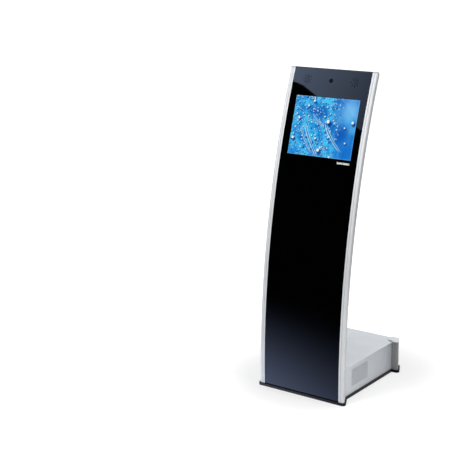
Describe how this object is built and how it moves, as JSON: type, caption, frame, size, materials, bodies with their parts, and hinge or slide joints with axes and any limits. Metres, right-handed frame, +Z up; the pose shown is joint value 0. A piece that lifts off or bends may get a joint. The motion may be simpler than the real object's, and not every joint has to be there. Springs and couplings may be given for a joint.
{
  "type": "touchscreen kiosk",
  "caption": "Free-standing information kiosk: slim backward-leaning column with curved glass front, touchscreen and camera, on a low base box with rear doors.",
  "frame": {"origin": "middle of the base plate's underside, on the floor", "axes": "+Z up, the glass front faces -Y, +X to the right seen from the front"},
  "size_m": [0.4788, 0.5644, 1.485],
  "materials": {
    "black_glass": "gloss",
    "clear_glass": "gloss",
    "anodised_aluminium": "satin anodised",
    "silver_sheet": "satin",
    "black_steel": "satin black",
    "grey_trim": "satin",
    "black_plastic": "matte",
    "nameplate_metal": "brushed",
    "screen_picture": "lit picture",
    "zinc_steel": "zinc plated",
    "chrome_lock": "polished",
    "foam": "matte",
    "circuit_board": "solder resist",
    "speaker_paper": "matte",
    "mesh_steel": "matte black",
    "lens_glass": "gloss",
    "cable_jacket": "matte",
    "computer_metal": "black anodised",
    "fan_plastic": "matte",
    "button_metal": "satin"
  },
  "bodies": {
    "kiosk": {"front_glass": "black_glass", "touch_glass": "clear_glass", "left_side_profile": "anodised_aluminium", "right_side_profile": "anodised_aluminium", "top_cap": "grey_trim", "glass_top_trim": "black_plastic", "nameplate": "nameplate_metal", "rear_panel": "silver_sheet", "rear_hinge_fixed": "zinc_steel", "rear_hinge_pins": "zinc_steel", "rear_lock_strike": "zinc_steel", "column_crossbars": "zinc_steel", "column_feet": "black_steel", "screen_gasket": "foam", "lcd_module": "screen_picture", "lcd_brackets": "zinc_steel", "driver_board": "circuit_board", "speaker_grilles": "mesh_steel", "speaker_frames": "black_steel", "speaker_cones": "speaker_paper", "camera_window": "lens_glass", "webcam_body": "black_plastic", "webcam_lens": "black_plastic", "webcam_bracket": "zinc_steel", "cable_loom": "cable_jacket", "cable_clips": "black_plastic", "base_plate": "black_steel", "base_top_cover": "silver_sheet", "left_side_panel": "silver_sheet", "right_side_panel": "silver_sheet", "left_rear_post": "anodised_aluminium", "right_rear_post": "anodised_aluminium", "post_caps": "anodised_aluminium", "base_rear_panel": "silver_sheet", "base_hinge_fixed": "zinc_steel", "base_hinge_pins": "zinc_steel", "base_lock_strike": "zinc_steel", "computer_case": "computer_metal", "power_supply": "black_plastic", "fan_housing": "fan_plastic", "amplifier": "computer_metal", "power_inlet": "black_plastic", "switch_frame": "black_plastic", "rear_panel_screws": "zinc_steel", "base_screws": "zinc_steel", "foot_bolts": "zinc_steel"},
    "rear_door": {"rear_door": "silver_sheet", "rear_hinge_moving": "zinc_steel", "rear_lock_body": "chrome_lock"},
    "rear_lock": {"rear_lock_cam": "zinc_steel"},
    "base_door": {"base_door": "silver_sheet", "base_hinge_moving": "zinc_steel", "base_lock_body": "chrome_lock"},
    "base_lock": {"base_lock_cam": "zinc_steel"},
    "fan": {"fan_rotor": "fan_plastic"},
    "switch": {"rocker_switch": "black_plastic"},
    "power_button": {"power_button": "button_metal"},
    "volume_knob": {"volume_knob": "button_metal"}
  },
  "joints": [
    {"name": "rear_door_hinge", "type": "hinge", "parent": "kiosk", "child": "rear_door", "pos_m": [-0.171, -0.02864, 1.19552], "axis": [0, 0.3007, 0.9537], "range_deg": [0, 110]},
    {"name": "rear_lock_turn", "type": "hinge", "parent": "rear_door", "child": "rear_lock", "pos_m": [0.15, -0.03455, 1.19738], "axis": [0, -0.9537, 0.3007], "range_deg": [0, 90]},
    {"name": "base_door_hinge", "type": "hinge", "parent": "kiosk", "child": "base_door", "pos_m": [-0.171, 0.2792, 0.079], "axis": [0, 0, 1], "range_deg": [0, 110]},
    {"name": "base_lock_turn", "type": "hinge", "parent": "base_door", "child": "base_lock", "pos_m": [0.075, 0.275, 0.079], "axis": [0, -1, 0], "range_deg": [0, 90]},
    {"name": "fan_spin", "type": "hinge", "parent": "kiosk", "child": "fan", "pos_m": [0.185, -0.11, 0.082], "axis": [1, 0, 0], "continuous": true},
    {"name": "switch_rock", "type": "hinge", "parent": "kiosk", "child": "switch", "pos_m": [0.137, 0.275, 0.1], "axis": [-1, 0, 0], "range_deg": [-12, 0]},
    {"name": "power_button_press", "type": "slide", "parent": "kiosk", "child": "power_button", "axis": [0, -1, 0], "range_m": [0, 0.0018], "stiffness_N_per_m": 300},
    {"name": "volume_turn", "type": "hinge", "parent": "kiosk", "child": "volume_knob", "pos_m": [0.09, -0.005, 0.026], "axis": [0, 1, 0], "range_deg": [0, 300]}
  ]
}
